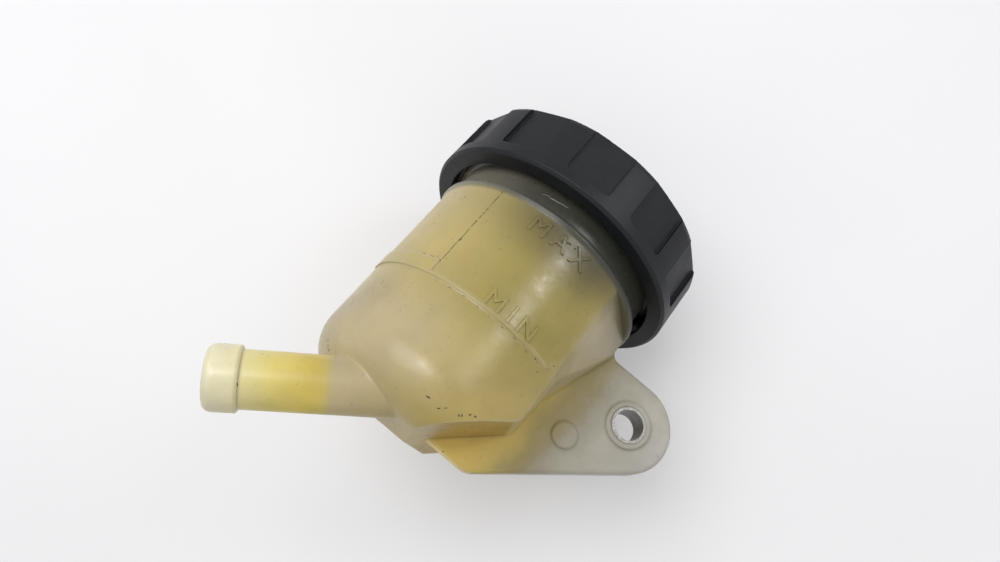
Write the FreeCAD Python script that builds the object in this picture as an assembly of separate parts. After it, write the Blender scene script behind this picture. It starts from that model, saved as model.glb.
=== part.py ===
import FreeCAD, Part
import math
import os
from FreeCAD import Vector

# Brake fluid reservoir: a translucent moulded bowl with a bolt-on ear, a slanted hose spigot
# and a black screw cap over a rubber diaphragm.
# While it is drawn, Z runs up the bowl's own axis and zero is the plane of the cap's lower rim.
# The ear lies in the XZ plane on the +X side, the spigot leaves on the -X side, and the level
# marks face -Y. At the end everything moves so that the origin is the middle of the ear's bush.

# Bowl, a drafted round pot
BOWL_RADIUS = 24.2          # outside, at the cap rim's plane
BOWL_DRAFT_DEG = 0.45       # each side, narrowing downwards
BOWL_DEPTH = 49.0           # from the cap rim's plane to the underside
BOWL_FOOT_RADIUS = 9.0      # rounding between wall and underside
INNER_FOOT = 5.0            # width and height of the slope between wall and floor inside
WALL = 2.2
SHOULDER_DROP = 5.2         # the wall ends this far under the cap rim's plane
SHOULDER_BEAD = 0.45        # how far the shoulder bead stands proud
SHOULDER_HEIGHT = 1.6

# Neck, the tube that the cap's thread goes over
NECK_STEP = 0.9             # narrower than the bowl by this, on the radius
NECK_WALL = 2.1
NECK_TOP = 8.5

# Ear side of the bowl: relieved so that a spanner reaches the bolt
RELIEF_PLANE = 19.0         # the sizes below are those at this distance from the ear's plane
RELIEF_TOP_X = 21.7         # where the sloping relief starts on the wall
RELIEF_TOP_Z = -10.4
RELIEF_WAIST_X = 16.0       # where it turns straight down
RELIEF_WAIST_Z = -26.0
RELIEF_KNEE_X = 15.2        # where it turns in under the bowl
RELIEF_KNEE_RISE = 11.8     # above the underside
RELIEF_FALL_DEG = 42.1      # the slope down from there to the underside, from level
RELIEF_CORNER_RADIUS = 4.0
RELIEF_DRAFT_DEG = 6.7      # the walls above the knee lean out towards the ear
BACK_RISE_DEG = 12.0        # the underside climbs behind the ear's plane
FLAT_FROM_DEG = -52.0       # the flat beside the level window, as angles round the bowl
FLAT_TO_DEG = -9.0

# Ear, a flat plate with a round end
EAR_THICK = 4.0
EAR_X = 34.9                # centre of the round end and of the bush
EAR_Z = -18.1
EAR_RADIUS = 9.5
EAR_SLOPE_DEG = 38.5        # lower edge, from level
EAR_BOTTOM_RISE = 3.0       # above the bowl's underside
EAR_CORNER_RADIUS = 4.0
EAR_ROOT_RADIUS = 2.0       # between the upper edge and the bowl
EAR_EDGE = 0.45             # bevel along its edges
COLLAR_WALL = 1.15          # round the bush
COLLAR_RISE = 0.5
BOSS_X = 25.7
BOSS_Z = -28.2
BOSS_RADIUS = 2.7
BOSS_RISE = 0.4

# Bush, a rolled metal collar moulded into the ear
BUSH_BORE_RADIUS = 3.1
BUSH_WALL = 0.55
BUSH_PROUD = 0.1

# Spigot, the hose tail
SPIGOT_RADIUS = 5.1
SPIGOT_WALL = 1.5
SPIGOT_DEG = 53.3           # from straight down towards -X
SPIGOT_ROOT_X = -0.5        # a point on its axis
SPIGOT_ROOT_RISE = 7.0
SPIGOT_OFFSET = 12.5        # its axis is this far from the ear's plane, on the level marks' side
SPIGOT_LENGTH = 37.0        # from that point to its mouth
BEAD_RISE = 0.65
BEAD_LENGTH = 5.7
BEAD_NOSE_RADIUS = 1.5
BEAD_HEEL = 0.3             # bevel behind the bead

# Level marks on the bowl: a short raised band and the lower line that runs on from it
LINE_RISE = 0.3
LINE_HEIGHT = 0.6
LOW_LEVEL_Z = -27.3
BAND_HEIGHT = 3.2
BAND_FROM_DEG = -172.0
BAND_TO_DEG = -124.0
LINE_TO_DEG = -57.0

# Screw cap
THREAD_SPACE = 2.1          # between the neck and the cap's skirt
CAP_WALL = 3.6
CAP_HEIGHT = 14.0
CAP_TOP_THICK = 2.6
CAP_CHAMFER = 0.6           # round the lower rim
CAP_EDGE_RADIUS = 1.6       # round the top
EDGE_STEPS = 3              # flats that make up a rounded rim
PANELS = 12
PANEL_FIRST_DEG = -125.0
PANEL_WIDTH = 9.6
PANEL_DEPTH = 1.15
PANEL_FLOOR_Z = 2.8
PANEL_CORNER_RADIUS = 1.0

# Diaphragm, a rubber bellows hung from the neck's top
FLANGE_SETBACK = 0.2        # from the neck's outer wall
FLANGE_THICK = 1.2
RUBBER = 1.1
BELLOWS_CLEARANCE = 0.5     # from the neck's bore
BELLOWS_DROP = 11.1         # from the neck's top to the bottom of the fold
BELLOWS_FOLD = 3.0          # width of the fold's trough
CROWN_DROP = 3.3            # from the neck's top to the middle

# Plate that presses the diaphragm down, carried by a lip inside the cap
PLATE_CLEARANCE = 0.7       # from the cap's skirt
PLATE_HOLE_RADIUS = 9.0
PLATE_STEP = 0.9            # its middle sits this much lower, inside the bellows
PLATE_STEP_CLEARANCE = 0.3
SEAT_CLEARANCE = 0.1        # between plate, diaphragm and cap
LIP_GRIP = 0.7              # how far the lip reaches under the plate
LIP_HEIGHT = 1.0

X = Vector(1, 0, 0)
Y = Vector(0, 1, 0)
Z = Vector(0, 0, 1)
ZERO = Vector(0, 0, 0)
FAR = 60.0                  # beyond every wall, for cutting tools
NEAR = 0.01                 # closer than this counts as the same place
DRAFT = math.tan(math.radians(BOWL_DRAFT_DEG))
FLOOR_Z = -BOWL_DEPTH
NECK_RADIUS = BOWL_RADIUS - NECK_STEP
NECK_BORE = NECK_RADIUS - NECK_WALL
BUSH_RADIUS = BUSH_BORE_RADIUS + BUSH_WALL
EAR_HALF = EAR_THICK / 2
SKIRT_RADIUS = NECK_RADIUS + THREAD_SPACE
CEILING_Z = CAP_HEIGHT - CAP_TOP_THICK
BELLOWS_RADIUS = NECK_BORE - BELLOWS_CLEARANCE
FLANGE_TOP = NECK_TOP + FLANGE_THICK
PLATE_LOW = FLANGE_TOP + SEAT_CLEARANCE
PLATE_RADIUS = SKIRT_RADIUS - PLATE_CLEARANCE


def lines(points):
    """Closed wire of straight edges through points."""
    return Part.makePolygon(points + [points[0]])


def spun(points):
    """Solid of revolution about Z of a closed outline given as (radius, height)."""
    face = Part.Face(lines([Vector(r, 0, z) for r, z in points]))
    return face.revolve(ZERO, Z, 360)


def rim(radius, height, rounding):
    """Outline points of a rounded outer rim; a negative rounding is for a rim that faces down."""
    points = []
    for i in range(EDGE_STEPS + 1):
        turn = math.radians(90 * i / EDGE_STEPS)
        inwards = abs(rounding) * (1 - math.cos(turn))
        points.append((radius - inwards, height - rounding * (1 - math.sin(turn))))
    return points


def column(radius, low, high):
    """Round bar about Z."""
    return Part.makeCylinder(radius, high - low, Vector(0, 0, low), Z)


def disc(radius, low, high, x, z):
    """Round slab lying in the ear's plane, from y = low to y = high."""
    return Part.makeCylinder(radius, high - low, Vector(x, low, z), Y)


def rings(shape, height):
    """Closed edges of a shape at one height."""
    return [e for e in shape.Edges if e.Closed and abs(e.CenterOfMass.z - height) < NEAR]


def shrunk(points, inset):
    """Corners of the outline in the XZ plane through points, its edges moved in by inset."""
    moved = []
    for i, corner in enumerate(points):
        before = Y.cross((corner - points[i - 1]).normalize())
        after = Y.cross((points[(i + 1) % len(points)] - corner).normalize())
        moved.append(corner + (before + after) * (inset / (1 + before.dot(after))))
    return moved


def rounded(points, radius):
    """Closed wire through points, with every corner rounded."""
    arcs = []
    for i, corner in enumerate(points):
        back = (points[i - 1] - corner).normalize()
        ahead = (points[(i + 1) % len(points)] - corner).normalize()
        half = back.getAngle(ahead) / 2
        reach = radius / math.tan(half)
        middle = corner + (back + ahead).normalize() * (radius / math.sin(half) - radius)
        arcs.append((corner + back * reach, middle, corner + ahead * reach))
    edges = []
    for i, (start, middle, end) in enumerate(arcs):
        edges.append(Part.LineSegment(arcs[i - 1][2], start).toShape())
        edges.append(Part.Arc(start, middle, end).toShape())
    return Part.Wire(edges)


def wall_radius(z):
    """Outside radius of the drafted wall at height z."""
    return BOWL_RADIUS + DRAFT * z


def relief_outline(inset, distance):
    """Side view of the relieved bowl in a plane at a distance from the ear's, shrunk by inset."""
    slope = (RELIEF_TOP_Z - RELIEF_WAIST_Z) / (RELIEF_TOP_X - RELIEF_WAIST_X)
    fall = math.tan(math.radians(RELIEF_FALL_DEG))
    lean = (RELIEF_PLANE - distance) * math.tan(math.radians(RELIEF_DRAFT_DEG))
    knee_z = FLOOR_Z + RELIEF_KNEE_RISE
    corners = [
        Vector(RELIEF_TOP_X + lean + (FAR - RELIEF_TOP_Z) / slope, 0, FAR),
        Vector(RELIEF_WAIST_X + lean, 0, RELIEF_WAIST_Z),
        Vector(RELIEF_KNEE_X + lean, 0, knee_z + lean * fall),
        Vector(-FAR, 0, knee_z - (RELIEF_KNEE_X + FAR) * fall),
        Vector(-FAR, 0, FAR),
    ]
    return rounded(shrunk(corners, inset), RELIEF_CORNER_RADIUS)


def relief_half(inset, side):
    """Front or back half of the relieved form."""
    near = relief_outline(inset, 0)
    far = relief_outline(inset, BOWL_RADIUS)
    far.translate(Y * side * BOWL_RADIUS)
    return Part.makeLoft([near, far], True, True)


def pot():
    """The drafted pot with its rounded foot as a plain solid."""
    wide = wall_radius(-SHOULDER_DROP)
    height = -SHOULDER_DROP - FLOOR_Z
    body = Part.makeCone(wall_radius(FLOOR_Z), wide, height, Vector(0, 0, FLOOR_Z), Z)
    return body.makeFillet(BOWL_FOOT_RADIUS, rings(body, FLOOR_Z))


def pot_space():
    """The room inside the pot, with a sloping foot."""
    low = FLOOR_Z + WALL
    foot = low + INNER_FOOT
    return spun([
        (0, low),
        (wall_radius(low) - WALL - INNER_FOOT, low),
        (wall_radius(foot) - WALL, foot),
        (wall_radius(-SHOULDER_DROP) - WALL, -SHOULDER_DROP),
        (0, -SHOULDER_DROP),
    ])


def flat_cutter(inset, side):
    """What lies outside the flat beside the level window; side is -1 in front, 1 behind."""
    middle = (FLAT_FROM_DEG + FLAT_TO_DEG) / 2
    half = math.radians(FLAT_TO_DEG - FLAT_FROM_DEG) / 2
    reach = wall_radius(-SHOULDER_DROP) * math.cos(half) - inset
    block = Part.makeBox(FAR, 2 * FAR, 2 * FAR, Vector(reach, -FAR, -2 * FAR - SHOULDER_DROP))
    block.rotate(ZERO, Z, -side * middle)
    return block


def back_rise(inset):
    """What lies under the climbing back half of the underside."""
    lift = inset / math.cos(math.radians(BACK_RISE_DEG))
    block = Part.makeBox(2 * FAR, FAR, FAR, Vector(-FAR, 0, -FAR))
    block.rotate(ZERO, X, BACK_RISE_DEG)
    block.translate(Z * (FLOOR_Z + lift))
    return block


def relieved(form, inset):
    """A form of the bowl, relieved and flattened on the ear side, with those faces moved in by inset."""
    relief = relief_half(inset, -1).fuse(relief_half(inset, 1))
    cutters = [back_rise(inset), flat_cutter(inset, -1), flat_cutter(inset, 1)]
    return form.common(relief).cut(cutters)


def neck():
    """Neck tube with the bead and the sloping shoulder at its foot."""
    base = -SHOULDER_DROP
    edge = wall_radius(base)
    third = SHOULDER_HEIGHT / 3
    return spun([
        (NECK_BORE, base),
        (edge, base),
        (edge + SHOULDER_BEAD, base + third),
        (edge + SHOULDER_BEAD, base + 2 * third),
        (NECK_RADIUS, base + SHOULDER_HEIGHT),
        (NECK_RADIUS, NECK_TOP),
        (NECK_BORE, NECK_TOP),
    ])


def ear_outline():
    """Outline of the ear plate in the XZ plane."""
    bottom = FLOOR_Z + EAR_BOTTOM_RISE
    top = EAR_Z + EAR_RADIUS
    slope = math.radians(EAR_SLOPE_DEG)
    centre = Vector(EAR_X, 0, EAR_Z)
    touch = centre + Vector(math.sin(slope), 0, -math.cos(slope)) * EAR_RADIUS
    corner_x = touch.x - (touch.z - bottom) / math.tan(slope)
    trim = EAR_CORNER_RADIUS * math.tan(slope / 2)
    start = Vector(corner_x - trim, 0, bottom)
    end = Vector(corner_x + trim * math.cos(slope), 0, bottom + trim * math.sin(slope))
    middle = start + Vector(math.sin(slope / 2), 0, 1 - math.cos(slope / 2)) * EAR_CORNER_RADIUS
    root = wall_radius(top)
    hollow = Vector(root + EAR_ROOT_RADIUS, 0, top + EAR_ROOT_RADIUS)
    diagonal = Vector(-1, 0, -1).normalize() * EAR_ROOT_RADIUS
    edges = [
        Part.LineSegment(Vector(0, 0, bottom), start),
        Part.Arc(start, middle, end),
        Part.LineSegment(end, touch),
        Part.Arc(touch, centre + X * EAR_RADIUS, centre + Z * EAR_RADIUS),
        Part.LineSegment(centre + Z * EAR_RADIUS, hollow - Z * EAR_ROOT_RADIUS),
        Part.Arc(hollow - Z * EAR_ROOT_RADIUS, hollow + diagonal, hollow - X * EAR_ROOT_RADIUS),
        Part.LineSegment(hollow - X * EAR_ROOT_RADIUS, Vector(0, 0, hollow.z)),
        Part.LineSegment(Vector(0, 0, hollow.z), Vector(0, 0, bottom)),
    ]
    return Part.Wire([e.toShape() for e in edges])


def ear():
    """Ear plate with softened edges, the collar round the bush and the round boss."""
    plate = Part.Face(ear_outline()).extrude(Y * EAR_THICK)
    plate.translate(Y * -EAR_HALF)
    rims = [e for e in plate.Edges if abs(abs(e.CenterOfMass.y) - EAR_HALF) < NEAR]
    plate = plate.makeChamfer(EAR_EDGE, rims)
    reach = EAR_HALF + COLLAR_RISE
    collar = disc(BUSH_RADIUS + COLLAR_WALL, -reach, reach, EAR_X, EAR_Z)
    boss = disc(BOSS_RADIUS, -EAR_HALF - BOSS_RISE, 0, BOSS_X, BOSS_Z)
    return plate.fuse([collar, boss])


def along_spigot(shape):
    """Turns a shape drawn down the Z axis onto the spigot's axis."""
    shape.rotate(ZERO, Y, SPIGOT_DEG)
    shape.translate(Vector(SPIGOT_ROOT_X, -SPIGOT_OFFSET, FLOOR_Z + SPIGOT_ROOT_RISE))
    return shape


def spigot():
    """Tube and hose bead, solid, drawn from its root to its mouth."""
    bead = SPIGOT_RADIUS + BEAD_RISE
    heel = BEAD_LENGTH - SPIGOT_LENGTH
    stem = [(0, 0), (SPIGOT_RADIUS, 0), (SPIGOT_RADIUS, heel)]
    shoulder = [(bead - BEAD_HEEL, heel), (bead, heel - BEAD_HEEL)]
    nose = rim(bead, -SPIGOT_LENGTH, -BEAD_NOSE_RADIUS)
    return along_spigot(spun(stem + shoulder + nose + [(0, -SPIGOT_LENGTH)]))


def spigot_bore():
    """Hole down the spigot into the bowl."""
    return along_spigot(column(SPIGOT_RADIUS - SPIGOT_WALL, -FAR, 0))


def raised_strip(low, high, from_deg, to_deg):
    """Strip standing proud of the wall between two heights, part of the way round."""
    corners = [
        (wall_radius(low) - LINE_RISE, low),
        (wall_radius(low) + LINE_RISE, low),
        (wall_radius(high) + LINE_RISE, high),
        (wall_radius(high) - LINE_RISE, high),
    ]
    face = Part.Face(lines([Vector(r, 0, z) for r, z in corners]))
    face.rotate(ZERO, Z, from_deg)
    return face.revolve(ZERO, Z, to_deg - from_deg)


def level_marks():
    """Raised band and lower level line."""
    band = raised_strip(LOW_LEVEL_Z, LOW_LEVEL_Z + BAND_HEIGHT, BAND_FROM_DEG, BAND_TO_DEG)
    line = raised_strip(LOW_LEVEL_Z, LOW_LEVEL_Z + LINE_HEIGHT, BAND_TO_DEG, LINE_TO_DEG)
    return [band, line]


def reservoir_body():
    """The whole translucent moulding."""
    body = relieved(pot(), 0).fuse([spigot(), ear(), neck()] + level_marks())
    space = relieved(pot_space(), WALL)
    throat = column(NECK_BORE, -SHOULDER_DROP - WALL, 0)
    seat = disc(BUSH_RADIUS, -FAR, FAR, EAR_X, EAR_Z)
    return body.cut([space, throat, spigot_bore(), seat])


def mounting_bush():
    """Metal collar, a little proud of the moulding on both sides."""
    reach = EAR_HALF + COLLAR_RISE + BUSH_PROUD
    sleeve = disc(BUSH_RADIUS, -reach, reach, EAR_X, EAR_Z)
    return sleeve.cut(disc(BUSH_BORE_RADIUS, -reach, reach, EAR_X, EAR_Z))


def diaphragm():
    """Rubber bellows: a flange on the neck, one deep fold and a raised middle."""
    fold_z = NECK_TOP - BELLOWS_DROP
    crown_z = NECK_TOP - CROWN_DROP
    wall = BELLOWS_RADIUS - RUBBER
    trough = wall - BELLOWS_FOLD
    return spun([
        (BELLOWS_RADIUS, NECK_TOP),
        (NECK_RADIUS - FLANGE_SETBACK, NECK_TOP),
        (NECK_RADIUS - FLANGE_SETBACK, FLANGE_TOP),
        (wall, FLANGE_TOP),
        (wall, fold_z + RUBBER),
        (trough, fold_z + RUBBER),
        (trough, crown_z),
        (0, crown_z),
        (0, crown_z - RUBBER),
        (trough - RUBBER, crown_z - RUBBER),
        (trough - RUBBER, fold_z),
        (BELLOWS_RADIUS, fold_z),
    ])


def diaphragm_plate():
    """Stepped ring, its rim over the flange and its middle inside the bellows."""
    thick = CEILING_Z - SEAT_CLEARANCE - PLATE_LOW
    step = BELLOWS_RADIUS - RUBBER - PLATE_STEP_CLEARANCE
    return spun([
        (PLATE_HOLE_RADIUS, PLATE_LOW - PLATE_STEP),
        (step, PLATE_LOW - PLATE_STEP),
        (step, PLATE_LOW),
        (PLATE_RADIUS, PLATE_LOW),
        (PLATE_RADIUS, PLATE_LOW + thick),
        (step - thick, PLATE_LOW + thick),
        (step - thick, PLATE_LOW + thick - PLATE_STEP),
        (PLATE_HOLE_RADIUS, PLATE_LOW + thick - PLATE_STEP),
    ])


def panel_cutter():
    """Cutter of one flat recessed grip panel, open at the cap's top."""
    depth = SKIRT_RADIUS + CAP_WALL - PANEL_DEPTH
    half = PANEL_WIDTH / 2
    top = CAP_HEIGHT + 2 * PANEL_CORNER_RADIUS
    corners = [(-half, PANEL_FLOOR_Z), (half, PANEL_FLOOR_Z), (half, top), (-half, top)]
    outline = rounded([Vector(depth, y, z) for y, z in corners], PANEL_CORNER_RADIUS)
    return Part.Face(outline).extrude(X * 2 * PANEL_DEPTH)


def screw_cap():
    """Cap with a chamfered lower rim, a rounded top, grip panels and the lip for the plate."""
    radius = SKIRT_RADIUS + CAP_WALL
    lower = [(SKIRT_RADIUS, 0), (radius - CAP_CHAMFER, 0), (radius, CAP_CHAMFER)]
    top = rim(radius, CAP_HEIGHT, CAP_EDGE_RADIUS)
    form = spun(lower + top + [(0, CAP_HEIGHT), (0, CEILING_Z), (SKIRT_RADIUS, CEILING_Z)])
    cutters = []
    for i in range(PANELS):
        cutter = panel_cutter()
        cutter.rotate(ZERO, Z, PANEL_FIRST_DEG + i * 360 / PANELS)
        cutters.append(cutter)
    lip_top = PLATE_LOW - SEAT_CLEARANCE
    lip = spun([
        (SKIRT_RADIUS + LIP_GRIP, lip_top),
        (PLATE_RADIUS - LIP_GRIP, lip_top),
        (SKIRT_RADIUS + LIP_GRIP, lip_top - 2 * LIP_HEIGHT),
    ])
    return form.cut(cutters).fuse(lip)


shapes = {
    "reservoir_body": reservoir_body(),
    "mounting_bush": mounting_bush(),
    "diaphragm": diaphragm(),
    "diaphragm_plate": diaphragm_plate(),
    "screw_cap": screw_cap(),
}
os.makedirs("parts", exist_ok=True)
for name, shape in shapes.items():
    shape = shape.removeSplitter()
    shape.translate(Vector(-EAR_X, 0, -EAR_Z))
    shape.exportStep("parts/" + name + ".step")
    print(name, shape.isValid(), len(shape.Solids), round(shape.Volume, 1))
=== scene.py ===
"""Looks of a remote brake fluid reservoir, lying on a white table and seen from above it."""

import math
import random

import bmesh
import bpy
from mathutils import Matrix, Vector
from mathutils.bvhtree import BVHTree


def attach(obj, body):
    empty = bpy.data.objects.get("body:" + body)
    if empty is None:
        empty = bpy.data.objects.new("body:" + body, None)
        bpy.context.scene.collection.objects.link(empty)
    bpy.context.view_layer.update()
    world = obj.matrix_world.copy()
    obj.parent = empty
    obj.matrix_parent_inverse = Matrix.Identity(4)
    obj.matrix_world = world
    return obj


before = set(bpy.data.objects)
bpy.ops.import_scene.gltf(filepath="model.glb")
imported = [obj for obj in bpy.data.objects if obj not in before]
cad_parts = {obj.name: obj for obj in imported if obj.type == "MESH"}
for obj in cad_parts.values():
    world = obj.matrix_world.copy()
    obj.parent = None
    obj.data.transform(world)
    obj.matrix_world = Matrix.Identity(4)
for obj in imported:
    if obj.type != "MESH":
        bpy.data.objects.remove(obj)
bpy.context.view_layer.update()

MM = 0.001

# Where the bowl stands in the frame: its axis, and the height at which the cap's open end lies at rest.
BOWL_AXIS_X = -34.9
CAP_FOOT_Z = 18.1

# The bowl's drafted wall, in millimetres below the cap's open end.
WALL_RADIUS = 24.2
WALL_DRAFT_DEG = 0.45

# The spigot's axis, in the same millimetres: a point on it, the way to its mouth, how far from the point the mouth
# is, and where the wall turns clear yellow.
SPIGOT_ROOT = (-0.5, -12.5, -42.0)
SPIGOT_DIRECTION = (-0.8018, 0.0, -0.5976)
SPIGOT_LENGTH = 37.0
SPIGOT_CLEAR = 17.0

# Which way the slope under the bowl faces, and the way in the picture from it to the lower edge of the ear's web.
SLOPE_NORMAL = (0.67, 0.0, -0.742)
TOWARDS_WEB_EDGE = (0.64, 0.0, -0.69)

# Colours of the plastic. Across the bowl, from its far side to the flat beside the ear: the wall, the wall below the
# level line, and the neck above the shoulder, in front of the black rubber, with painted shade under the cap that
# grows towards the ear.
WALL_COLOURS = [(0.0, "#BEAD74"), (0.2, "#BFAC6D"), (0.42, "#A6964F"), (0.6, "#98893F"),
                (0.78, "#A39350"), (0.86, "#B5A67C"), (1.0, "#B5A586")]
LOW_WALL_COLOURS = [(0.0, "#B5A780"), (0.2, "#BFAF88"), (0.35, "#BDAC7F"), (0.6, "#B39F5C"), (1.0, "#B7A262")]
NECK_COLOURS = [(0.0, "#8E8878"), (0.2, "#6A675B"), (0.35, "#47473D"), (0.7, "#35372E"), (1.0, "#332F20")]
BOWL_SPAN = (-25.0, 25.0)
# Along the ear, amber in the thick web, brightened there as painted light where the bowl shades it, and grey towards
# the bolt, and along the spigot towards its bead.
EAR_COLOURS = [(0.0, "#E4C671"), (0.42, "#E6CA74"), (0.52, "#D0BA6E"), (0.58, "#A99B67"),
               (0.63, "#A09572"), (0.68, "#A49E8C"), (1.0, "#B8B5AC")]
EAR_SPAN = (-12.0, 46.0)
SPIGOT_COLOURS = [(0.0, "#CBB866"), (0.14, "#D3BC58"), (0.45, "#DAC974"),
                  (0.68, "#E3D89B"), (0.72, "#E6DDB0"), (1.0, "#EAE4C6")]
SHADE_COLOUR = "#4C472A"     # painted shade of the cap on the wall below the neck, darkest towards the ear
# Painted shade: a darker amber for the slope under the bowl, which faces down.
PAINTED_SLOPE_SHADE = "#A5841F"
GRIME_FILM = "#5B5138"
# Painted highlight along the bowl's outer edges.
PAINTED_EDGE_HIGHLIGHT = "#D0C193"
# Amber of the thick plastic at the ear's edges and where it meets the bowl, lightened as painted light against their
# shade.
AMBER_AND_PAINTED_CORNER_LIGHT = "#C9B266"

# Rounding of the moulding's edges, and of the much finer raised words.
MOULDING_EDGE = 1.0
WORD_EDGE = 0.15

# Screw thread between neck and cap.
THREAD_PITCH = 3.0
THREAD_TURNS = 1.6
THREAD_STEPS = 64
THREAD_FOOT_WIDTH = 1.5
THREAD_CREST_WIDTH = 0.6
THREAD_SINK = 0.1
NECK_RADIUS = 23.3
NECK_THREAD_RADIUS = 24.5
NECK_THREAD_Z = 1.3
SKIRT_RADIUS = 25.4
SKIRT_THREAD_RADIUS = 24.2
SKIRT_THREAD_Z = 1.9

# Raised words of the level marks: piece, word, angle of its middle from +X, and height of its foot.
LEVEL_WORDS = [("high_level_word", "MAX", -88.0, -9.6), ("low_level_word", "MIN", -84.0, -26.6)]
WORD_HEIGHT = 3.6
WORD_RELIEF = 0.11
WORD_BEVEL = 0.08
WORD_SINK = 0.2
WORD_SPACING = 1.45
FONT_SIZE_PER_HEIGHT = 1.4

# Grime along the mould line: its angle, lowest and highest point, and how many lumps.
MOULD_LINE = (-124.0, -24.0, -5.4, 34)
# Grime along the level line's two arcs: height, first and last angle, and how many lumps.
LEVEL_ARCS = [(-27.75, -119.0, -62.0, 9), (-23.9, -150.0, -125.0, 6)]
LUMP_THICKNESS = 0.06
SPOT_SHARE = 0.75            # what is left of a single lump once its ragged edge has crumbled

# Single lumps of grime: where each shows in the picture, its length and width in millimetres, and its tilt.
GRIME_SPOTS = [
    (562, 242, 1.1, 0.55, 20), (569, 244, 1.5, 0.65, -20), (575, 249, 0.8, 0.4, -20), (557, 240, 0.8, 0.4, 60),
    (626, 274.5, 0.7, 0.4, 0), (460.5, 239.5, 0.8, 0.4, 50), (488, 183, 0.7, 0.3, 30), (465, 197, 0.5, 0.3, 0),
    (328, 340, 0.6, 0.25, 80), (328, 346, 0.6, 0.25, 85), (329, 350, 0.7, 0.3, 80), (428, 397, 1.3, 0.35, -30),
    (438.5, 408.5, 0.8, 0.3, -10), (446, 408, 0.6, 0.25, 20), (459, 415.4, 0.3, 0.7, 0), (462, 415.4, 0.3, 0.7, 0),
    (470, 415, 0.6, 0.4, 30), (475.4, 416.6, 0.5, 0.5, 0), (535.4, 358.8, 0.6, 0.4, 30), (537.2, 372, 0.6, 0.3, 10),
    (553.8, 366.2, 0.5, 0.3, -20), (443, 451.5, 0.5, 0.3, 0), (237.2, 384.5, 0.35, 0.8, 0)]

# A pale scratch on the neck, as short slivers: where each shows, its length and width in millimetres, and its tilt.
SCRATCH_SPOTS = [
    (546, 195.3, 1.7, 0.16, -30), (553, 199.3, 1.7, 0.2, -30), (560, 203.3, 1.7, 0.2, -30),
    (566, 206.8, 1.3, 0.16, -30)]

# The photograph's camera.
CAMERA_PLACE = Vector((-33.672, -143.215, -56.752)) * MM
CAMERA_RIGHT = Vector((0.767806, -0.239633, 0.594180))
CAMERA_UP = Vector((-0.639920, -0.332078, 0.692984))
CAMERA_BACK = Vector((0.031252, -0.912305, -0.408318))
CAMERA_LENS = 27.0
SENSOR_WIDTH = 36.0
PICTURE_WIDTH = 1000
PICTURE_HEIGHT = 562

# The table, which the reservoir's back lies on.
TABLE_NORMAL = Vector((-0.08, -0.916, -0.392)).normalized()
TABLE_DISTANCE = 35.6
TABLE_SIZE = 6000.0
TABLE_LIFT = 0.1             # how much whiter the camera sees it
TABLE_FADE = (0.2, 0.5)      # metres from the frame's origin between which it fades out

# Lamps: name, direction from the reservoir as right, up and towards the camera, distance, size, power, and
# whether it only shows as a reflection.
LAMPS = [
    ("window", (-0.3, 0.45, 0.84), 0.6, 0.4, 1.75, False),
    ("side_window", (0.66, 0.42, 0.62), 0.6, 0.16, 0.35, False),
    ("window_gleam", (-0.07, 0.4, 0.9), 0.6, 0.09, 0.6, True),
    ("side_gleam", (0.65, 0.42, 0.63), 0.6, 0.09, 0.38, True),
    ("back_fill", (-0.2, 0.3, -0.93), 0.6, 0.6, 0.8, False),
]
LAMPS_AIM = Vector((-33.0, 0.0, -10.0)) * MM
WORLD_LIGHT = (0.97, 0.98, 1.0, 1)
WORLD_STRENGTH = 0.5
WORLD_SEEN = "#F6F6F6"

# Settings that many nodes share.
SMOOTH = {"interpolation_type": "SMOOTHSTEP"}
TIMES = {"operation": "MULTIPLY"}
LARGER = {"operation": "MAXIMUM"}
DOT = {"operation": "DOT_PRODUCT"}
COLOURS = {"data_type": "RGBA"}
TINT = {"data_type": "RGBA", "blend_type": "MULTIPLY"}


def linear(colour):
    """An sRGB hex colour as linear red, green, blue and alpha."""
    parts = [int(colour[i:i + 2], 16) / 255 for i in (1, 3, 5)]
    return [c / 12.92 if c <= 0.04045 else ((c + 0.055) / 1.055) ** 2.4 for c in parts] + [1.0]


def add(tree, kind, fields=None, sockets=None, links=None, stops=None):
    """Adds one node: its fields, its unlinked sockets, the outputs linked to its inputs, and a ramp's colour stops."""
    made = tree.nodes.new(kind)
    for name, value in (fields or {}).items():
        setattr(made, name, value)
    for name, value in (sockets or {}).items():
        made.inputs[name].default_value = value
    for name, source in (links or {}).items():
        tree.links.new(source, made.inputs[name])
    if stops:
        elements = made.color_ramp.elements
        elements[0].position, elements[1].position = stops[0][0], stops[-1][0]
        elements[0].color, elements[1].color = linear(stops[0][1]), linear(stops[-1][1])
        for place, colour in stops[1:-1]:
            elements.new(place).color = linear(colour)
    return made


def new_material(name, sockets):
    """A material with an empty Principled shader: the material, its tree and the shader."""
    material = bpy.data.materials.new(name)
    material.use_nodes = True
    tree = material.node_tree
    tree.nodes.clear()
    shader = add(tree, "ShaderNodeBsdfPrincipled", sockets=sockets)
    add(tree, "ShaderNodeOutputMaterial", links={"Surface": shader.outputs["BSDF"]})
    return material, tree, shader


def bowl_millimetres(tree):
    """Object coordinates in millimetres, from the middle of the cap's open end."""
    place = add(tree, "ShaderNodeTexCoord").outputs["Object"]
    shift = (-BOWL_AXIS_X, 0, -CAP_FOOT_Z)
    return add(tree, "ShaderNodeMapping", sockets={"Scale": (1 / MM,) * 3, "Location": shift},
               links={"Vector": place}).outputs["Vector"]


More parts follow.
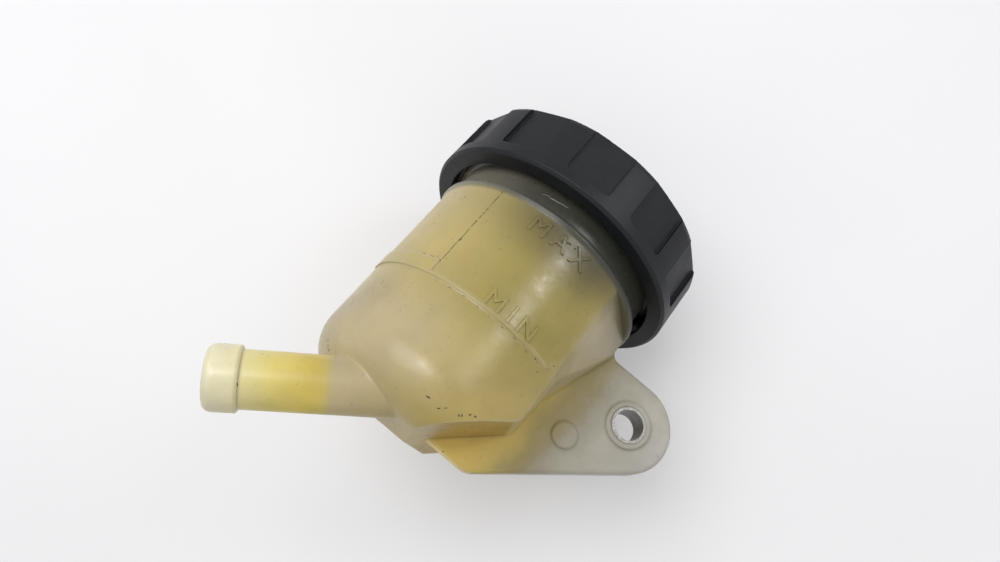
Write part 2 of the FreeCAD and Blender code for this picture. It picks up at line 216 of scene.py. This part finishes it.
def bowl_colour(tree, x, z, x_wandered, low):
    """The bowl and its neck: painted shade of the cap darkens the upper wall, most of all towards the ear, and the neck
    is dark partly from the black rubber behind it and partly from painted shade under the cap.
    """
    across = add(tree, "ShaderNodeMapRange", sockets={"From Min": BOWL_SPAN[0], "From Max": BOWL_SPAN[1]},
                 links={"Value": x_wandered}).outputs["Result"]
    wall, low_wall, neck_wall = [
        add(tree, "ShaderNodeValToRGB", links={"Fac": across}, stops=stops).outputs["Color"]
        for stops in (WALL_COLOURS, LOW_WALL_COLOURS, NECK_COLOURS)]
    lower = add(tree, "ShaderNodeMix", COLOURS, links={"A": wall, "B": low_wall, "Factor": low}).outputs["Result"]

    # The shade ends higher up on the flat beside the ear.
    on_flat = add(tree, "ShaderNodeMapRange", sockets={"From Min": 9.0, "From Max": 14.0, "To Max": -4.5},
                  links={"Value": x}).outputs["Result"]
    z_seen = add(tree, "ShaderNodeMath", links={0: z, 1: on_flat}).outputs["Value"]
    # Painted shade of the cap: the wall darkens towards the neck, and more so towards the ear.
    near_neck = add(tree, "ShaderNodeMapRange", SMOOTH, {"From Min": -18.5, "From Max": -5.5},
                    {"Value": z_seen}).outputs["Result"]
    towards_ear = add(tree, "ShaderNodeMapRange", SMOOTH,
                      {"From Min": -22.0, "From Max": 4.0, "To Min": 0.06, "To Max": 0.94},
                      {"Value": x_wandered}).outputs["Result"]
    dark = add(tree, "ShaderNodeMath", TIMES, links={0: near_neck, 1: towards_ear}).outputs["Value"]
    shaded = add(tree, "ShaderNodeMix", COLOURS, {"B": linear(SHADE_COLOUR)},
                 {"A": lower, "Factor": dark}).outputs["Result"]

    # The neck above the shoulder: dark from the black rubber behind it, and from painted shade under the cap.
    neck = add(tree, "ShaderNodeMapRange", SMOOTH, {"From Min": -5.8, "From Max": -4.6},
               {"Value": z}).outputs["Result"]
    return add(tree, "ShaderNodeMix", COLOURS, links={"A": shaded, "B": neck_wall, "Factor": neck}).outputs["Result"]


def ear_colour(tree, mm, x_wandered):
    """The ear with the web under the bowl, its amber brightened as painted light, a little greyer towards the web's
    lower edge.
    """
    from_slope = add(tree, "ShaderNodeVectorMath", DOT, {1: TOWARDS_WEB_EDGE}, {0: mm}).outputs["Value"]
    towards_edge = add(tree, "ShaderNodeMapRange", sockets={"From Min": 36.0, "From Max": 44.0, "To Max": 3.5},
                       links={"Value": from_slope}).outputs["Result"]
    place = add(tree, "ShaderNodeMath", links={0: x_wandered, 1: towards_edge}).outputs["Value"]
    across = add(tree, "ShaderNodeMapRange", sockets={"From Min": EAR_SPAN[0], "From Max": EAR_SPAN[1]},
                 links={"Value": place}).outputs["Result"]
    return add(tree, "ShaderNodeValToRGB", links={"Fac": across}, stops=EAR_COLOURS).outputs["Color"]


def spigot_colour(tree, mm):
    """The spigot past its root: its colour, and where it applies."""
    from_root = add(tree, "ShaderNodeVectorMath", {"operation": "SUBTRACT"}, {1: SPIGOT_ROOT},
                    {0: mm}).outputs["Vector"]
    along = add(tree, "ShaderNodeVectorMath", DOT, {1: SPIGOT_DIRECTION}, {0: from_root}).outputs["Value"]
    aside = add(tree, "ShaderNodeVectorMath", {"operation": "CROSS_PRODUCT"}, {1: SPIGOT_DIRECTION},
                {0: from_root}).outputs["Vector"]
    from_axis = add(tree, "ShaderNodeVectorMath", {"operation": "LENGTH"}, links={0: aside}).outputs["Value"]
    near_axis = add(tree, "ShaderNodeMapRange", SMOOTH, {"From Min": 7.5, "From Max": 6.0},
                    {"Value": from_axis}).outputs["Result"]
    past_root = add(tree, "ShaderNodeMapRange", SMOOTH,
                    {"From Min": SPIGOT_CLEAR - 1.3, "From Max": SPIGOT_CLEAR + 1.0},
                    {"Value": along}).outputs["Result"]
    share = add(tree, "ShaderNodeMath", TIMES, links={0: near_axis, 1: past_root}).outputs["Value"]
    towards_bead = add(tree, "ShaderNodeMapRange", sockets={"From Min": SPIGOT_CLEAR, "From Max": SPIGOT_LENGTH},
                       links={"Value": along}).outputs["Result"]
    colour = add(tree, "ShaderNodeValToRGB", links={"Fac": towards_bead}, stops=SPIGOT_COLOURS).outputs["Color"]
    return colour, share


def dirtied(tree, mm, cloud, colour):
    """Cloudy streaks and a film of grime over a colour, both faint."""
    mottle = add(tree, "ShaderNodeMapRange", sockets={"From Min": 0.3, "From Max": 0.7, "To Min": 0.89, "To Max": 1.08},
                 links={"Value": cloud}).outputs["Result"]
    mottled = add(tree, "ShaderNodeMix", TINT, {"Factor": 1.0}, {"A": colour, "B": mottle}).outputs["Result"]
    specks = add(tree, "ShaderNodeTexNoise", sockets={"Scale": 1.7, "Detail": 2.0},
                 links={"Vector": mm}).outputs["Fac"]
    speck_share = add(tree, "ShaderNodeMapRange", sockets={"From Min": 0.71, "From Max": 0.78, "To Max": 0.35},
                      links={"Value": specks}).outputs["Result"]
    return add(tree, "ShaderNodeMix", COLOURS, {"B": linear(GRIME_FILM)},
               {"A": mottled, "Factor": speck_share}).outputs["Result"]


def moulded_polypropylene(name, edge_radius):
    """Natural polypropylene, injection-moulded and aged by brake fluid: waxy and milky, yellow where it is thick,
    greyer in the thin ear, and dark near the neck, partly from the black rubber behind it and partly as painted shade
    of the cap. The web under the bowl is brightened as painted light, the slope under the bowl is darkened as painted
    shade, and the outer edges carry a painted highlight. Its edges are rounded over edge_radius millimetres."""
    material, tree, shader = new_material(name, {
        "IOR": 1.49, "Subsurface Weight": 0.3, "Subsurface Scale": 0.0025,
        "Subsurface Radius": (1.0, 0.8, 0.45), "Sheen Weight": 0.08, "Sheen Roughness": 0.5})
    mm = bowl_millimetres(tree)
    axes = add(tree, "ShaderNodeSeparateXYZ", links={"Vector": mm}).outputs
    x, y, z = axes["X"], axes["Y"], axes["Z"]
    depth = add(tree, "ShaderNodeMath", {"operation": "ABSOLUTE"}, links={0: y}).outputs["Value"]

    # Slow cloudiness of the wall, over about 9 mm, which also makes the borders between colours wander.
    cloud = add(tree, "ShaderNodeTexNoise", sockets={"Scale": 0.11, "Detail": 3.0, "Roughness": 0.55},
                links={"Vector": mm}).outputs["Fac"]
    wander = add(tree, "ShaderNodeMath", {"operation": "MULTIPLY_ADD"}, {1: 9.0, 2: -4.5},
                 {0: cloud}).outputs["Value"]
    x_wandered = add(tree, "ShaderNodeMath", links={0: x, 1: wander}).outputs["Value"]

    normal = add(tree, "ShaderNodeNewGeometry").outputs["True Normal"]
    facing = add(tree, "ShaderNodeSeparateXYZ", links={"Vector": normal}).outputs["Z"]

    # Zones, each from where it starts to where it is full.
    low, thin, past_bowl, below_neck, past_spigot, left_of_boss, faces_down = [
        add(tree, "ShaderNodeMapRange", SMOOTH, {"From Min": start, "From Max": full},
            {"Value": source}).outputs["Result"]
        for source, start, full in [
            (z, -24.0, -38.0), (depth, 6.5, 3.4), (x, 3.0, 8.0), (z, -4.8, -7.5), (x, 3.0, 6.0), (x, 22.0, 18.0),
            (facing, -0.55, -0.75)]]
    in_ear = add(tree, "ShaderNodeMath", TIMES, links={0: thin, 1: past_bowl}).outputs["Value"]
    ear_share = add(tree, "ShaderNodeMath", TIMES, links={0: in_ear, 1: below_neck}).outputs["Value"]
    # Painted shade on the slope under the bowl, picked out by the way its faces point.
    as_slope = add(tree, "ShaderNodeVectorMath", DOT, {1: SLOPE_NORMAL}, {0: normal}).outputs["Value"]
    slope_share = add(tree, "ShaderNodeMapRange", sockets={"From Min": 0.97, "From Max": 0.995},
                      links={"Value": as_slope}).outputs["Result"]
    for zone in (left_of_boss, low, past_spigot):
        slope_share = add(tree, "ShaderNodeMath", TIMES, links={0: slope_share, 1: zone}).outputs["Value"]

    bowl = bowl_colour(tree, x, z, x_wandered, low)
    with_ear = add(tree, "ShaderNodeMix", COLOURS, links={
        "A": bowl, "B": ear_colour(tree, mm, x_wandered), "Factor": ear_share}).outputs["Result"]
    with_slope = add(tree, "ShaderNodeMix", COLOURS, {"B": linear(PAINTED_SLOPE_SHADE)},
                     {"A": with_ear, "Factor": slope_share}).outputs["Result"]
    spigot, spigot_share = spigot_colour(tree, mm)
    clean = add(tree, "ShaderNodeMix", COLOURS,
                links={"A": with_slope, "B": spigot, "Factor": spigot_share}).outputs["Result"]
    dirty = dirtied(tree, mm, cloud, clean)

    # The bowl's outer edges get a pale painted highlight, and the ear's edges left of the boss, with the corner where
    # it meets the bowl, an amber painted light that lifts their shade.
    soft = add(tree, "ShaderNodeBevel", {"samples": 8}, {"Radius": edge_radius * MM}).outputs["Normal"]
    flat = add(tree, "ShaderNodeNewGeometry").outputs["Normal"]
    alike = add(tree, "ShaderNodeVectorMath", DOT, links={0: soft, 1: flat}).outputs["Value"]
    edge = add(tree, "ShaderNodeMapRange", sockets={"From Min": 0.995, "From Max": 0.93, "To Max": 0.6},
               links={"Value": alike}).outputs["Result"]
    off_ear = add(tree, "ShaderNodeMath", {"operation": "SUBTRACT"}, {0: 1.0}, {1: thin}).outputs["Value"]
    off_neck = add(tree, "ShaderNodeMapRange", sockets={"From Min": -9.0, "From Max": -12.0},
                   links={"Value": z}).outputs["Result"]
    dirt_and_painted_edge_light = dirty
    for zone, other_zone, colour in [(off_ear, off_neck, PAINTED_EDGE_HIGHLIGHT), (thin, left_of_boss, AMBER_AND_PAINTED_CORNER_LIGHT)]:
        edge_here = add(tree, "ShaderNodeMath", TIMES, links={0: edge, 1: zone}).outputs["Value"]
        share = add(tree, "ShaderNodeMath", TIMES, links={0: edge_here, 1: other_zone}).outputs["Value"]
        dirt_and_painted_edge_light = add(tree, "ShaderNodeMix", COLOURS, {"B": linear(colour)},
                   {"A": dirt_and_painted_edge_light, "Factor": share}).outputs["Result"]
    tree.links.new(dirt_and_painted_edge_light, shader.inputs["Base Color"])

    # The same edges are rounded, under the faint orange peel of a worn mould, 1.5 mm apart.
    peel = add(tree, "ShaderNodeTexNoise", sockets={"Scale": 0.65, "Detail": 4.0, "Roughness": 0.6},
               links={"Vector": mm}).outputs["Fac"]
    bump = add(tree, "ShaderNodeBump", sockets={"Strength": 0.35, "Distance": 0.1 * MM},
               links={"Height": peel, "Normal": soft}).outputs["Normal"]
    tree.links.new(bump, shader.inputs["Normal"])
    gloss = add(tree, "ShaderNodeMapRange", sockets={"From Min": 0.3, "From Max": 0.7, "To Min": 0.26, "To Max": 0.38},
                links={"Value": peel}).outputs["Result"]
    tree.links.new(gloss, shader.inputs["Roughness"])

    # The flat ear and the underside are scuffed and shine less than the bowl.
    down = add(tree, "ShaderNodeMath", TIMES, links={0: faces_down, 1: low}).outputs["Value"]
    scuffed = add(tree, "ShaderNodeMath", LARGER, links={0: ear_share, 1: down}).outputs["Value"]
    shine = add(tree, "ShaderNodeMapRange", sockets={"To Min": 0.5, "To Max": 0.12},
                links={"Value": scuffed}).outputs["Result"]
    tree.links.new(shine, shader.inputs["Specular IOR Level"])
    return material


def moulded_nylon():
    """Black glass-filled nylon, moulded with a spark-eroded grain: matt charcoal with a soft sheen and pale rubs."""
    material, tree, shader = new_material("black_nylon_moulded_grained", {
        "IOR": 1.53, "Specular IOR Level": 0.25})
    mm = bowl_millimetres(tree)

    # Grain of the mould, about 0.25 mm, drawn at 0.5 mm so that it shows.
    grain = add(tree, "ShaderNodeTexNoise", sockets={"Scale": 2.0, "Detail": 3.0, "Roughness": 0.7},
                links={"Vector": mm}).outputs["Fac"]
    rub = add(tree, "ShaderNodeTexNoise", sockets={"Scale": 0.16, "Detail": 6.0, "Roughness": 0.65},
              links={"Vector": mm}).outputs["Fac"]
    colour = add(tree, "ShaderNodeValToRGB", links={"Fac": rub}, stops=[
        (0.3, "#0F1114"), (0.5, "#131518"), (0.68, "#191A1E"), (0.8, "#262729")]).outputs["Color"]
    fine = add(tree, "ShaderNodeMapRange", sockets={"From Min": 0.3, "From Max": 0.7, "To Min": 0.9, "To Max": 1.1},
               links={"Value": grain}).outputs["Result"]
    grained = add(tree, "ShaderNodeMix", TINT, {"Factor": 1.0}, {"A": colour, "B": fine}).outputs["Result"]
    tree.links.new(grained, shader.inputs["Base Color"])
    gloss = add(tree, "ShaderNodeMapRange", sockets={"From Min": 0.3, "From Max": 0.75, "To Min": 0.36, "To Max": 0.52},
                links={"Value": rub}).outputs["Result"]
    tree.links.new(gloss, shader.inputs["Roughness"])
    soft = add(tree, "ShaderNodeBevel", fields={"samples": 6}, sockets={"Radius": 0.3 * MM}).outputs["Normal"]
    bump = add(tree, "ShaderNodeBump", sockets={"Strength": 0.3, "Distance": 0.04 * MM},
               links={"Height": grain, "Normal": soft}).outputs["Normal"]
    tree.links.new(bump, shader.inputs["Normal"])
    return material


def plated_steel():
    """Zinc-plated steel, turned: bright rings round the bolt hole, slightly dulled."""
    material, tree, shader = new_material("zinc_plated_steel_turned", {"Metallic": 1.0, "Roughness": 0.3})
    place = add(tree, "ShaderNodeTexCoord").outputs["Object"]
    mm = add(tree, "ShaderNodeMapping", sockets={"Scale": (1 / MM,) * 3}, links={"Vector": place}).outputs["Vector"]
    rings = add(tree, "ShaderNodeTexWave", fields={"wave_type": "RINGS", "rings_direction": "Y"},
                sockets={"Scale": 2.2, "Distortion": 0.8, "Detail": 2.0}, links={"Vector": mm}).outputs["Fac"]
    dull = add(tree, "ShaderNodeTexNoise", sockets={"Scale": 0.9, "Detail": 4.0}, links={"Vector": mm}).outputs["Fac"]
    colour = add(tree, "ShaderNodeValToRGB", links={"Fac": dull}, stops=[
        (0.3, "#5C5B58"), (0.55, "#6F6E6A"), (0.75, "#7F7E7A")]).outputs["Color"]
    tree.links.new(colour, shader.inputs["Base Color"])
    gloss = add(tree, "ShaderNodeMapRange", sockets={"To Min": 0.22, "To Max": 0.4}, links={"Value": dull})
    tree.links.new(gloss.outputs["Result"], shader.inputs["Roughness"])
    bump = add(tree, "ShaderNodeBump", sockets={"Strength": 0.25, "Distance": 0.03 * MM}, links={"Height": rings})
    tree.links.new(bump.outputs["Normal"], shader.inputs["Normal"])
    return material


def moulded_rubber():
    """EPDM rubber, compression-moulded: dull black with a bloom."""
    material, tree, shader = new_material("epdm_rubber_moulded", {"Roughness": 0.7, "IOR": 1.52})
    mm = bowl_millimetres(tree)
    bloom = add(tree, "ShaderNodeTexNoise", sockets={"Scale": 0.4, "Detail": 5.0}, links={"Vector": mm}).outputs["Fac"]
    colour = add(tree, "ShaderNodeValToRGB", links={"Fac": bloom},
                 stops=[(0.35, "#1B1B1B"), (0.6, "#232323"), (0.8, "#313130")]).outputs["Color"]
    tree.links.new(colour, shader.inputs["Base Color"])
    bump = add(tree, "ShaderNodeBump", sockets={"Strength": 0.3, "Distance": 0.05 * MM}, links={"Height": bloom})
    tree.links.new(bump.outputs["Normal"], shader.inputs["Normal"])
    return material


def moulded_acetal():
    """Black acetal, moulded smooth: an even satin surface."""
    material, tree, shader = new_material("black_acetal_moulded", {"Roughness": 0.42, "IOR": 1.48})
    mm = bowl_millimetres(tree)
    flow = add(tree, "ShaderNodeTexNoise", sockets={"Scale": 0.3, "Detail": 3.0}, links={"Vector": mm}).outputs["Fac"]
    colour = add(tree, "ShaderNodeValToRGB", links={"Fac": flow},
                 stops=[(0.35, "#232325"), (0.7, "#2E2E30")]).outputs["Color"]
    tree.links.new(colour, shader.inputs["Base Color"])
    gloss = add(tree, "ShaderNodeMapRange", sockets={"To Min": 0.34, "To Max": 0.5}, links={"Value": flow})
    tree.links.new(gloss.outputs["Result"], shader.inputs["Roughness"])
    return material


def caked_grime():
    """Road grime with oil, dried in the corners: nearly black and rough."""
    material, tree, shader = new_material("oily_grime_dried", {"Roughness": 0.85})
    mm = bowl_millimetres(tree)
    lumps = add(tree, "ShaderNodeTexNoise", sockets={"Scale": 3.0, "Detail": 3.0}, links={"Vector": mm}).outputs["Fac"]
    colour = add(tree, "ShaderNodeValToRGB", links={"Fac": lumps},
                 stops=[(0.35, "#423A29"), (0.7, "#665B41")]).outputs["Color"]
    tree.links.new(colour, shader.inputs["Base Color"])
    bump = add(tree, "ShaderNodeBump", sockets={"Strength": 0.6, "Distance": 0.08 * MM}, links={"Height": lumps})
    tree.links.new(bump.outputs["Normal"], shader.inputs["Normal"])
    return material


def scratched_polypropylene():
    """The same plastic where it is scratched: whitened by the strain."""
    material, tree, shader = new_material("natural_polypropylene_scratched", {"Roughness": 0.6, "IOR": 1.49})
    mm = bowl_millimetres(tree)
    torn = add(tree, "ShaderNodeTexNoise", sockets={"Scale": 2.5, "Detail": 2.0}, links={"Vector": mm}).outputs["Fac"]
    colour = add(tree, "ShaderNodeValToRGB", links={"Fac": torn},
                 stops=[(0.35, "#77766C"), (0.7, "#A3A196")]).outputs["Color"]
    tree.links.new(colour, shader.inputs["Base Color"])
    return material


def white_table():
    """White laminate, lit by the lamps so that it keeps the shadow. From behind, and for light that comes from
    behind, it is clear, so that the reservoir's back can be seen and is lit. Far off it fades out."""
    material = bpy.data.materials.new("white_laminate_table")
    material.use_nodes = True
    tree = material.node_tree
    tree.nodes.clear()
    place = add(tree, "ShaderNodeTexCoord").outputs["Object"]
    spread = add(tree, "ShaderNodeTexNoise", sockets={"Scale": 9.0, "Detail": 2.0}, links={"Vector": place})
    colour = add(tree, "ShaderNodeValToRGB", links={"Fac": spread.outputs["Fac"]},
                 stops=[(0.3, "#F2F1F2"), (0.7, "#F8F7F8")]).outputs["Color"]
    matt = add(tree, "ShaderNodeBsdfDiffuse", links={"Color": colour}).outputs["BSDF"]
    path = add(tree, "ShaderNodeLightPath").outputs
    lift = add(tree, "ShaderNodeMath", TIMES, {1: TABLE_LIFT}, {0: path["Is Camera Ray"]}).outputs["Value"]
    glow = add(tree, "ShaderNodeEmission", links={"Strength": lift}).outputs["Emission"]
    laminate = add(tree, "ShaderNodeAddShader", links={0: matt, 1: glow}).outputs["Shader"]
    clear = add(tree, "ShaderNodeBsdfTransparent").outputs["BSDF"]
    behind = add(tree, "ShaderNodeNewGeometry").outputs["Backfacing"]
    away = add(tree, "ShaderNodeVectorMath", {"operation": "LENGTH"}, links={0: place}).outputs["Value"]
    far = add(tree, "ShaderNodeMapRange", SMOOTH, {"From Min": TABLE_FADE[0], "From Max": TABLE_FADE[1]},
              {"Value": away}).outputs["Result"]
    faded = add(tree, "ShaderNodeMath", TIMES, links={0: far, 1: path["Is Camera Ray"]}).outputs["Value"]
    clear_share = add(tree, "ShaderNodeMath", LARGER, links={0: behind, 1: path["Is Shadow Ray"]}).outputs["Value"]
    open_share = add(tree, "ShaderNodeMath", LARGER, links={0: clear_share, 1: faded}).outputs["Value"]
    mixed = add(tree, "ShaderNodeMixShader", links={0: open_share, 1: laminate, 2: clear}).outputs["Shader"]
    add(tree, "ShaderNodeOutputMaterial", links={"Surface": mixed})
    return material


def dress(name, material):
    """Gives a CAD node its material."""
    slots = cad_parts[name].data.materials
    slots.clear()
    slots.append(material)


def piece(name, mesh, material, body):
    """An object from a finished bmesh, riding on a body."""
    data = bpy.data.meshes.new(name)
    mesh.to_mesh(data)
    mesh.free()
    data.materials.append(material)
    made = bpy.data.objects.new(name, data)
    bpy.context.scene.collection.objects.link(made)
    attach(made, body)
    return made


def thread(foot_radius, crest_radius, start_z):
    """One helical thread from its wall at foot_radius to its crest, round the bowl's axis."""
    mesh = bmesh.new()
    sink = math.copysign(THREAD_SINK, foot_radius - crest_radius)
    outline = [(foot_radius + sink, -THREAD_FOOT_WIDTH / 2), (crest_radius, -THREAD_CREST_WIDTH / 2),
               (crest_radius, THREAD_CREST_WIDTH / 2), (foot_radius + sink, THREAD_FOOT_WIDTH / 2)]
    corners = [mesh.verts.new((r * MM, 0, (start_z + z) * MM)) for r, z in outline]
    edges = [mesh.edges.new((corners[i], corners[(i + 1) % 4])) for i in range(4)]
    steps = round(THREAD_TURNS * THREAD_STEPS)
    bmesh.ops.spin(mesh, geom=corners + edges, cent=(0, 0, 0), axis=(0, 0, 1),
                   dvec=(0, 0, THREAD_PITCH * MM / THREAD_STEPS), angle=math.tau * THREAD_TURNS, steps=steps)
    bmesh.ops.holes_fill(mesh, edges=[e for e in mesh.edges if e.is_boundary], sides=4)
    bmesh.ops.recalc_face_normals(mesh, faces=mesh.faces)
    bmesh.ops.translate(mesh, verts=mesh.verts, vec=Vector((BOWL_AXIS_X, 0, CAP_FOOT_Z)) * MM)
    return mesh


def wall_point(angle_deg, z, proud=0.0):
    """A point on the bowl's wall, z below the cap's open end and turned from +X, and the wall's outward direction."""
    outward = Vector((math.cos(math.radians(angle_deg)), math.sin(math.radians(angle_deg)), 0))
    radius = WALL_RADIUS + z * math.tan(math.radians(WALL_DRAFT_DEG)) + proud
    return (Vector((BOWL_AXIS_X, 0, CAP_FOOT_Z + z)) + outward * radius) * MM, outward


def level_word(text, middle_deg, foot_z):
    """A raised word wrapped round the wall, as a mesh."""
    curve = bpy.data.curves.new(text, "FONT")
    curve.body = text
    curve.align_x = "CENTER"
    curve.size = WORD_HEIGHT * FONT_SIZE_PER_HEIGHT
    curve.space_character = WORD_SPACING
    curve.extrude = (WORD_RELIEF + WORD_SINK) / 2
    curve.bevel_depth = WORD_BEVEL
    curve.bevel_resolution = 2
    curve.resolution_u = 4
    flat = bpy.data.objects.new(text, curve)
    mesh = bmesh.new()
    mesh.from_mesh(bpy.data.meshes.new_from_object(flat))
    bpy.data.objects.remove(flat)
    bmesh.ops.remove_doubles(mesh, verts=mesh.verts, dist=0.001)
    for corner in mesh.verts:
        angle = middle_deg + math.degrees(corner.co.x / WALL_RADIUS)
        corner.co = wall_point(angle, foot_z + corner.co.y, corner.co.z)[0]
    bmesh.ops.recalc_face_normals(mesh, faces=mesh.faces)
    return mesh


def crumb(mesh, place, outward, along, length, width, rng):
    """One flat lump of grime on a surface."""
    outward = outward.normalized()
    along = (along - outward * along.dot(outward)).normalized()
    turn = Matrix((along, outward.cross(along), outward)).transposed().to_4x4()
    turn.translation = place
    made = bmesh.ops.create_icosphere(mesh, subdivisions=2, radius=1.0)["verts"]
    for corner in made:
        corner.co *= 1 + rng.uniform(-0.3, 0.3)
    size = Matrix.Diagonal((length * MM / 2, width * MM / 2, LUMP_THICKNESS * MM, 1))
    bmesh.ops.transform(mesh, matrix=turn @ size, verts=made)


def pixel_ray(px, py):
    """The direction from the camera through a point of the picture."""
    focal = CAMERA_LENS / SENSOR_WIDTH * PICTURE_WIDTH
    right, down = (px - PICTURE_WIDTH / 2) / focal, (py - PICTURE_HEIGHT / 2) / focal
    return (CAMERA_RIGHT * right - CAMERA_UP * down - CAMERA_BACK).normalized()


def grime():
    """Lumps of grime where the picture shows them, along the mould line and the level line, and single ones."""
    rng = random.Random(7)
    mesh = bmesh.new()
    angle, lowest, highest, count = MOULD_LINE
    for i in range(count):
        z = lowest + (highest - lowest) * i / (count - 1)
        place, outward = wall_point(angle + rng.uniform(-0.15, 0.15), z + rng.uniform(-0.3, 0.3))
        crumb(mesh, place, outward, Vector((0, 0, 1)), rng.uniform(0.3, 0.9), rng.uniform(0.07, 0.12), rng)
    for z, first, last, count in LEVEL_ARCS:
        for i in range(count):
            angle = first + (last - first) * i / (count - 1) + rng.uniform(-0.8, 0.8)
            place, outward = wall_point(angle, z + rng.uniform(-0.08, 0.08))
            around = Vector((0, 0, 1)).cross(outward)
            crumb(mesh, place, outward, around, rng.uniform(0.25, 0.9), rng.uniform(0.07, 0.14), rng)
    spots(mesh, GRIME_SPOTS, SPOT_SHARE, rng)
    return mesh


def spots(mesh, picked, share, rng):
    """Adds flat lumps to the reservoir where the picture shows them."""
    shell = BVHTree.FromObject(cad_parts["reservoir_body"], bpy.context.evaluated_depsgraph_get())
    for px, py, length, width, tilt_deg in picked:
        place, outward, _, _ = shell.ray_cast(CAMERA_PLACE, pixel_ray(px, py))
        tilt = math.radians(tilt_deg)
        along = CAMERA_RIGHT * math.cos(tilt) + CAMERA_UP * math.sin(tilt)
        crumb(mesh, place, outward, along, length * share, width * share, rng)


def scratch():
    """The scratch on the neck."""
    mesh = bmesh.new()
    spots(mesh, SCRATCH_SPOTS, 1.0, random.Random(3))
    return mesh


def build_camera():
    """The photograph's camera, close above the table."""
    data = bpy.data.cameras.new("camera")
    data.lens = CAMERA_LENS
    data.sensor_width = SENSOR_WIDTH
    data.sensor_fit = "HORIZONTAL"
    data.clip_start = 0.01
    camera = bpy.data.objects.new("camera", data)
    turn = Matrix((CAMERA_RIGHT, CAMERA_UP, CAMERA_BACK)).transposed().to_4x4()
    turn.translation = CAMERA_PLACE
    camera.matrix_world = turn
    bpy.context.scene.collection.objects.link(camera)
    bpy.context.scene.camera = camera


def build_table():
    """The table top, a plane that the reservoir's back touches."""
    mesh = bmesh.new()
    bmesh.ops.create_grid(mesh, x_segments=1, y_segments=1, size=TABLE_SIZE * MM / 2)
    turn = TABLE_NORMAL.to_track_quat("Z", "Y").to_matrix().to_4x4()
    turn.translation = -TABLE_NORMAL * TABLE_DISTANCE * MM
    bmesh.ops.transform(mesh, matrix=turn, verts=mesh.verts)
    data = bpy.data.meshes.new("table")
    mesh.to_mesh(data)
    mesh.free()
    data.materials.append(white_table())
    table = bpy.data.objects.new("table", data)
    bpy.context.scene.collection.objects.link(table)


def build_light():
    """Soft lamps and an even world, which shows white to the camera."""
    for name, towards, distance, size, power, gleam in LAMPS:
        data = bpy.data.lights.new(name, "AREA")
        data.shape = "SQUARE"
        data.size = size
        data.energy = power
        lamp = bpy.data.objects.new(name, data)
        right, up, back = towards
        direction = (CAMERA_RIGHT * right + CAMERA_UP * up + CAMERA_BACK * back).normalized()
        turn = direction.to_track_quat("Z", "Y").to_matrix().to_4x4()
        turn.translation = LAMPS_AIM + direction * distance
        lamp.matrix_world = turn
        lamp.visible_diffuse = not gleam
        bpy.context.scene.collection.objects.link(lamp)
    world = bpy.data.worlds.new("studio")
    world.use_nodes = True
    tree = world.node_tree
    tree.nodes.clear()
    path = add(tree, "ShaderNodeLightPath").outputs
    seen = add(tree, "ShaderNodeMath", LARGER,
               links={0: path["Is Camera Ray"], 1: path["Is Glossy Ray"]}).outputs["Value"]
    seen_at_all = add(tree, "ShaderNodeMath", LARGER,
                      links={0: seen, 1: path["Is Transmission Ray"]}).outputs["Value"]
    light = add(tree, "ShaderNodeBackground", sockets={"Color": WORLD_LIGHT, "Strength": WORLD_STRENGTH})
    white = add(tree, "ShaderNodeBackground", sockets={"Color": linear(WORLD_SEEN), "Strength": 1.0})
    mixed = add(tree, "ShaderNodeMixShader", links={
        0: seen_at_all, 1: light.outputs["Background"], 2: white.outputs["Background"]})
    add(tree, "ShaderNodeOutputWorld", links={"Surface": mixed.outputs["Shader"]})
    bpy.context.scene.world = world


build_camera()
build_table()
build_light()

polypropylene = moulded_polypropylene("natural_polypropylene_moulded_aged", MOULDING_EDGE)
raised_polypropylene = moulded_polypropylene("natural_polypropylene_moulded_aged_words", WORD_EDGE)
nylon = moulded_nylon()
dress("reservoir_body", polypropylene)
dress("screw_cap", nylon)
dress("mounting_bush", plated_steel())
dress("diaphragm", moulded_rubber())
dress("diaphragm_plate", moulded_acetal())

piece("neck_thread", thread(NECK_RADIUS, NECK_THREAD_RADIUS, NECK_THREAD_Z), polypropylene,
      "reservoir")
piece("cap_thread", thread(SKIRT_RADIUS, SKIRT_THREAD_RADIUS, SKIRT_THREAD_Z), nylon, "cap")
for name, word, middle_deg, foot_z in LEVEL_WORDS:
    piece(name, level_word(word, middle_deg, foot_z), raised_polypropylene, "reservoir")
piece("grime_lumps", grime(), caked_grime(), "reservoir")
piece("neck_scratch", scratch(), scratched_polypropylene(), "reservoir")

bpy.context.scene.view_settings.view_transform = "Standard"
